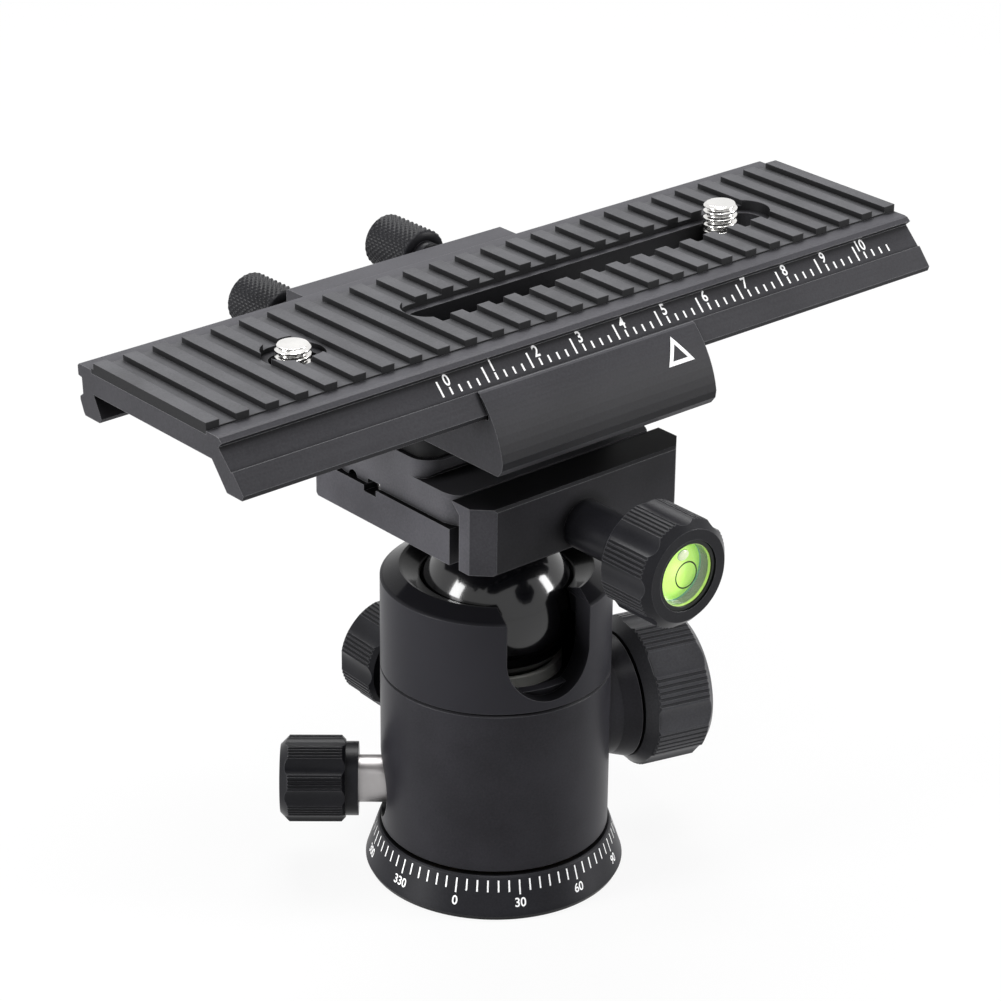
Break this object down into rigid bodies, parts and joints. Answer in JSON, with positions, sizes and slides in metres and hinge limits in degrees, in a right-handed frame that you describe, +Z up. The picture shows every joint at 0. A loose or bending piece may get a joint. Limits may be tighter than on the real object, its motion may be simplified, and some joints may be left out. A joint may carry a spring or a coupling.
{
  "type": "macro focusing rail on a ball head",
  "caption": "Rack-driven macro focusing rail with ribbed pad and camera screws, on a quick-release clamp and a panning ball head with lock knobs.",
  "frame": {"origin": "middle of the base's bottom face, on the pan axis, at the mouth of the tripod thread", "axes": "+X along the rail towards the high end of its scale, +Y towards the drive and lock knobs' side (away from the clamp knob), +Z up. Rest: ball upright, rail level, every screw at its rest turn."},
  "size_m": [0.16, 0.1031, 0.1161],
  "materials": {
    "black_anodised": "fine-blasted black anodised, satin",
    "knob_black": "black anodised, fluted or knurled, satin",
    "body_black": "smooth black anodised, soft sheen",
    "gloss_black": "polished black",
    "rubber": "matte black",
    "steel": "turned steel",
    "nickel": "bright nickel",
    "brass": "machined brass",
    "nylon": "natural nylon",
    "black_plastic": "gloss black",
    "level_green": "clear yellow-green liquid",
    "clear": "clear",
    "nylon_black": "black acetal"
  },
  "bodies": {
    "base": {"base_ring": "black_anodised", "pan_spindle": "steel", "thrust_washer": "brass", "spindle_nut": "steel"},
    "head": {"housing": "body_black", "collar": "gloss_black", "socket_ring": "nylon_black", "main_boss": "body_black", "friction_boss": "body_black", "ball_cup": "nylon"},
    "wedge": {"main_wedge": "brass"},
    "main_lock": {"main_lock_screw": "steel", "main_lock_knob": "knob_black", "main_knob_cap": "knob_black"},
    "friction_lock": {"friction_pad": "nylon", "friction_screw": "steel", "friction_knob": "knob_black"},
    "pan_lock": {"pan_pad": "nylon", "pan_lock_shaft": "steel", "pan_lock_knob": "knob_black"},
    "ball_stem": {"ball": "gloss_black", "clamp_bolt": "steel"},
    "clamp": {"clamp_base": "black_anodised", "clamp_guide_pins": "steel", "clamp_springs": "steel", "plate_stop_pin": "steel"},
    "jaw": {"clamp_jaw": "black_anodised"},
    "clamp_screw_knob": {"clamp_screw": "steel", "clamp_knob": "knob_black", "level_cup": "black_plastic", "level_fluid": "level_green", "level_lens": "clear"},
    "plate_and_carriage": {"qr_plate": "black_anodised", "plate_pad": "rubber", "plate_screw": "steel", "plate_stop_screws": "steel", "carriage": "black_anodised", "drive_bushing": "brass"},
    "drive": {"pinion": "brass", "drive_knob": "knob_black", "drive_grub_screw": "steel"},
    "rail_gib": {"gib": "brass"},
    "rail_lock": {"lock_screw": "steel", "lock_knob": "knob_black"},
    "rail": {"rail_plate": "black_anodised", "rack": "steel", "rack_screws": "steel", "ribbed_pad": "rubber"},
    "left_screw": {"left_camera_screw": "nickel"},
    "right_screw_slider": {"slot_washer": "nylon"},
    "right_screw": {"right_camera_screw": "nickel"}
  },
  "joints": [
    {"name": "pan", "type": "hinge", "parent": "base", "child": "head", "pos_m": [0, 0, 0.03], "axis": [0, 0, 1], "continuous": true},
    {"name": "pan_lock_turn", "type": "hinge", "parent": "head", "child": "pan_lock", "pos_m": [-0.02298, 0.01928, 0.0161], "axis": [-0.766, 0.6428, 0], "range_deg": [0, 270]},
    {"name": "main_lock_turn", "type": "hinge", "parent": "head", "child": "main_lock", "pos_m": [0.02898, -0.00777, 0.0288], "axis": [0.9659, -0.2588, 0], "range_deg": [0, 120]},
    {"name": "wedge_slide", "type": "slide", "parent": "head", "child": "wedge", "axis": [-0.9659, 0.2588, 0], "range_m": [0, 0.00034]},
    {"name": "friction_turn", "type": "hinge", "parent": "head", "child": "friction_lock", "pos_m": [0.00157, 0.02996, 0.0294], "axis": [0.0523, 0.9986, 0], "range_deg": [0, 180]},
    {"name": "ball_tilt", "type": "hinge", "parent": "head", "child": "ball_stem", "pos_m": [0, 0, 0.0536], "axis": [0.9781, -0.2079, 0], "range_deg": [-36, 62]},
    {"name": "ball_swivel", "type": "hinge", "parent": "ball_stem", "child": "clamp", "pos_m": [0, 0, 0.0734], "axis": [0, 0, 1], "continuous": true},
    {"name": "jaw_slide", "type": "slide", "parent": "clamp", "child": "jaw", "axis": [0, -1, 0], "range_m": [0, 0.0041]},
    {"name": "clamp_knob_turn", "type": "hinge", "parent": "jaw", "child": "clamp_screw_knob", "pos_m": [0, -0.044, 0.0776], "axis": [0, -1, 0], "range_deg": [0, 1440]},
    {"name": "plate_slide", "type": "slide", "parent": "clamp", "child": "plate_and_carriage", "axis": [1, 0, 0], "range_m": [-0.014, 0.014]},
    {"name": "rail_slide", "type": "slide", "parent": "plate_and_carriage", "child": "rail", "axis": [1, 0, 0], "range_m": [-0.054, 0.046]},
    {"name": "drive_turn", "type": "hinge", "parent": "plate_and_carriage", "child": "drive", "pos_m": [-0.0152, 0.045, 0.1002], "axis": [0, 1, 0], "range_deg": [-780, 665]},
    {"name": "lock_turn", "type": "hinge", "parent": "plate_and_carriage", "child": "rail_lock", "pos_m": [0.0137, 0.04, 0.10605], "axis": [0, 1, 0], "range_deg": [0, 150]},
    {"name": "gib_slide", "type": "slide", "parent": "plate_and_carriage", "child": "rail_gib", "axis": [0, -1, 0], "range_m": [0, 0.00029]},
    {"name": "left_screw_turn", "type": "hinge", "parent": "rail", "child": "left_screw", "pos_m": [-0.0423, 0.0042, 0.11], "axis": [0, 0, 1], "continuous": true},
    {"name": "right_screw_slide", "type": "slide", "parent": "rail", "child": "right_screw_slider", "axis": [1, 0, 0], "range_m": [-0.068, 0.006]},
    {"name": "right_screw_turn", "type": "hinge", "parent": "right_screw_slider", "child": "right_screw", "pos_m": [0.0577, 0.0042, 0.11], "axis": [0, 0, 1], "continuous": true}
  ],
  "couplings": [
    {"joint": "drive_turn", "follows": "rail_slide", "rad_per_m": 250},
    {"joint": "jaw_slide", "follows": "clamp_knob_turn", "m_per_rad": 0.00015915},
    {"joint": "wedge_slide", "follows": "main_lock_turn", "m_per_rad": 0.00015915},
    {"joint": "lock_turn", "follows": "gib_slide", "rad_per_m": 8976}
  ]
}
